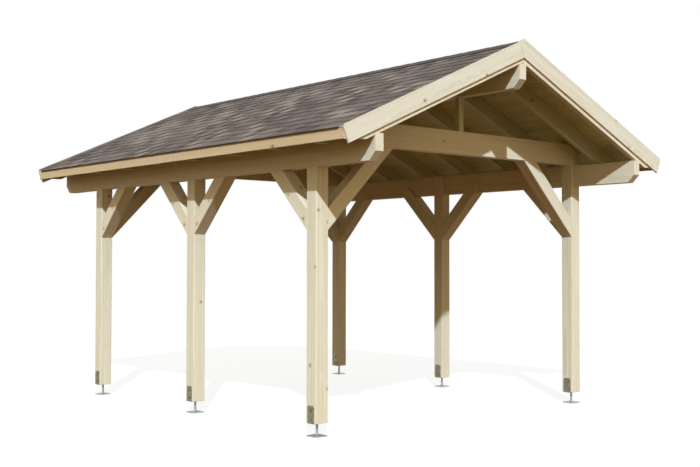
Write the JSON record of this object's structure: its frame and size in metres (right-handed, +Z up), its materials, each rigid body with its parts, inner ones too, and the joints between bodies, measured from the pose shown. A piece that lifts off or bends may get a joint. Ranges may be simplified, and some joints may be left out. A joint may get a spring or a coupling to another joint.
{
  "type": "carport",
  "caption": "Open timber carport with a gable roof: posts on adjustable steel feet, braced beams, rafters and a shingled roof over a drive-through bay.",
  "frame": {"origin": "on the ground, midway between the posts", "axes": "+X across the gable to the right seen from the front, +Y from the front gable to the rear, +Z up"},
  "size_m": [3.874, 4.98, 3.1785],
  "materials": {
    "frame_spruce": "planed, untreated",
    "roof_board_spruce": "planed, untreated",
    "edge_board_spruce": "planed, untreated",
    "bitumen_shingle": "mineral granules",
    "galvanised_steel": "hot-dip galvanised"
  },
  "bodies": {
    "root": {"front_king_post": "frame_spruce", "front_left_braces": "frame_spruce", "front_left_foot": "galvanised_steel", "front_left_post": "frame_spruce", "front_left_saddle": "galvanised_steel", "front_right_braces": "frame_spruce", "front_right_foot": "galvanised_steel", "front_right_post": "frame_spruce", "front_right_saddle": "galvanised_steel", "front_tie_beam": "frame_spruce", "left_barge_boards": "edge_board_spruce", "left_boarding": "roof_board_spruce", "left_eaves_purlin": "frame_spruce", "left_fascia": "edge_board_spruce", "left_rafters": "frame_spruce", "left_shingles": "bitumen_shingle", "left_verge_caps": "edge_board_spruce", "middle_left_braces": "frame_spruce", "middle_left_foot": "galvanised_steel", "middle_left_post": "frame_spruce", "middle_left_saddle": "galvanised_steel", "middle_right_braces": "frame_spruce", "middle_right_foot": "galvanised_steel", "middle_right_post": "frame_spruce", "middle_right_saddle": "galvanised_steel", "rear_king_post": "frame_spruce", "rear_left_braces": "frame_spruce", "rear_left_foot": "galvanised_steel", "rear_left_post": "frame_spruce", "rear_left_saddle": "galvanised_steel", "rear_right_braces": "frame_spruce", "rear_right_foot": "galvanised_steel", "rear_right_post": "frame_spruce", "rear_right_saddle": "galvanised_steel", "rear_tie_beam": "frame_spruce", "ridge_purlin": "frame_spruce", "ridge_strip": "bitumen_shingle", "right_barge_boards": "edge_board_spruce", "right_boarding": "roof_board_spruce", "right_eaves_purlin": "frame_spruce", "right_fascia": "edge_board_spruce", "right_rafters": "frame_spruce", "right_shingles": "bitumen_shingle", "right_verge_caps": "edge_board_spruce"}
  },
  "joints": []
}
